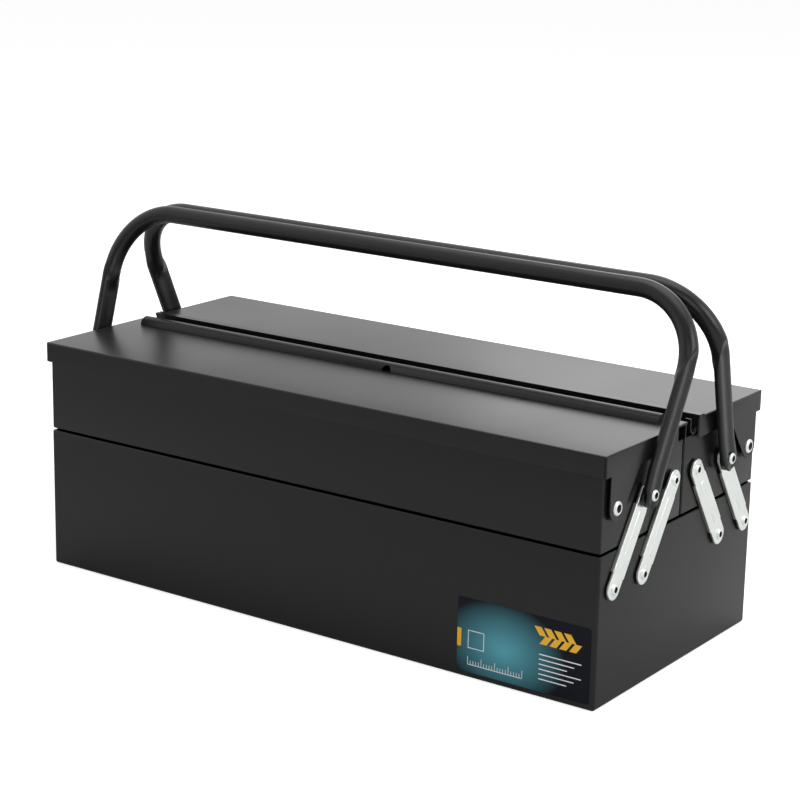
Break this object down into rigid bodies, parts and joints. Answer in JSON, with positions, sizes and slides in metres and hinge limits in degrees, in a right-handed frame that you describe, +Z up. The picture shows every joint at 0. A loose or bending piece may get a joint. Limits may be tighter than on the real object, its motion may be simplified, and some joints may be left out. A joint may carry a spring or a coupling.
{
  "type": "cantilever tool box",
  "caption": "Folded steel tool box with a deep bottom, two lidded trays that swing out front and rear on riveted links, and two tube handles that meet over the middle.",
  "frame": {"origin": "middle of the underside of the bottom box, on the surface it stands on", "axes": "+X along the length, to the end seen at the right of the picture; -Y out of the front; +Z up"},
  "size_m": [0.4784, 0.2012, 0.2487],
  "materials": {
    "black_paint": "satin powder coat, fine grain",
    "handle_paint": "smooth satin black paint",
    "zinc": "bright zinc plate",
    "black_phosphate": "black phosphated washers",
    "label_film": "printed gloss film"
  },
  "bodies": {
    "base": {"base_box": "black_paint", "base_link_rivets": "zinc", "base_link_washers": "black_phosphate", "blank_label": "label_film"},
    "front_outer_links": {"front_outer_link_left": "zinc", "front_outer_link_right": "zinc"},
    "front_inner_links": {"front_inner_link_left": "zinc", "front_inner_link_right": "zinc"},
    "front_tray_set": {"front_tray": "black_paint", "front_link_rivets": "zinc", "front_link_washers": "black_phosphate", "front_handle_rivets": "zinc", "front_handle_washers": "black_phosphate", "front_lid_rivets": "zinc", "front_lid_spacers": "black_phosphate"},
    "front_lid_set": {"front_lid": "black_paint", "front_lid_strip": "black_paint"},
    "front_handle_set": {"front_handle": "handle_paint"},
    "rear_outer_links": {"rear_outer_link_left": "zinc", "rear_outer_link_right": "zinc"},
    "rear_inner_links": {"rear_inner_link_left": "zinc", "rear_inner_link_right": "zinc"},
    "rear_tray_set": {"rear_tray": "black_paint", "rear_link_rivets": "zinc", "rear_link_washers": "black_phosphate", "rear_handle_rivets": "zinc", "rear_handle_washers": "black_phosphate", "rear_lid_rivets": "zinc", "rear_lid_spacers": "black_phosphate"},
    "rear_lid_set": {"rear_lid": "black_paint"},
    "rear_handle_set": {"rear_handle": "handle_paint"}
  },
  "joints": [
    {"name": "front_outer_link_swing", "type": "hinge", "parent": "base", "child": "front_outer_links", "pos_m": [0, -0.0853, 0.0753], "axis": [1, 0, 0], "range_deg": [0, 69]},
    {"name": "front_inner_link_swing", "type": "hinge", "parent": "base", "child": "front_inner_links", "pos_m": [0, -0.0495, 0.0753], "axis": [1, 0, 0], "range_deg": [0, 69]},
    {"name": "front_tray_level", "type": "hinge", "parent": "front_outer_links", "child": "front_tray_set", "pos_m": [0, -0.05061, 0.12693], "axis": [1, 0, 0], "range_deg": [-69, 0]},
    {"name": "front_lid_hinge", "type": "hinge", "parent": "front_tray_set", "child": "front_lid_set", "pos_m": [0, -0.08565, 0.1264], "axis": [1, 0, 0], "range_deg": [0, 110]},
    {"name": "front_handle_hinge", "type": "hinge", "parent": "front_tray_set", "child": "front_handle_set", "pos_m": [0, -0.05061, 0.12693], "axis": [1, 0, 0], "range_deg": [0, 165]},
    {"name": "rear_outer_link_swing", "type": "hinge", "parent": "base", "child": "rear_outer_links", "pos_m": [0, 0.0853, 0.0753], "axis": [-1, 0, 0], "range_deg": [0, 69]},
    {"name": "rear_inner_link_swing", "type": "hinge", "parent": "base", "child": "rear_inner_links", "pos_m": [0, 0.0495, 0.0753], "axis": [-1, 0, 0], "range_deg": [0, 69]},
    {"name": "rear_tray_level", "type": "hinge", "parent": "rear_outer_links", "child": "rear_tray_set", "pos_m": [0, 0.05061, 0.12693], "axis": [-1, 0, 0], "range_deg": [-69, 0]},
    {"name": "rear_lid_hinge", "type": "hinge", "parent": "rear_tray_set", "child": "rear_lid_set", "pos_m": [0, 0.08565, 0.1264], "axis": [-1, 0, 0], "range_deg": [0, 110]},
    {"name": "rear_handle_hinge", "type": "hinge", "parent": "rear_tray_set", "child": "rear_handle_set", "pos_m": [0, 0.05061, 0.12693], "axis": [-1, 0, 0], "range_deg": [0, 165]}
  ],
  "couplings": [
    {"joint": "front_inner_link_swing", "follows": "front_outer_link_swing", "ratio": 1},
    {"joint": "front_tray_level", "follows": "front_outer_link_swing", "ratio": -1},
    {"joint": "rear_inner_link_swing", "follows": "rear_outer_link_swing", "ratio": 1},
    {"joint": "rear_tray_level", "follows": "rear_outer_link_swing", "ratio": -1}
  ]
}
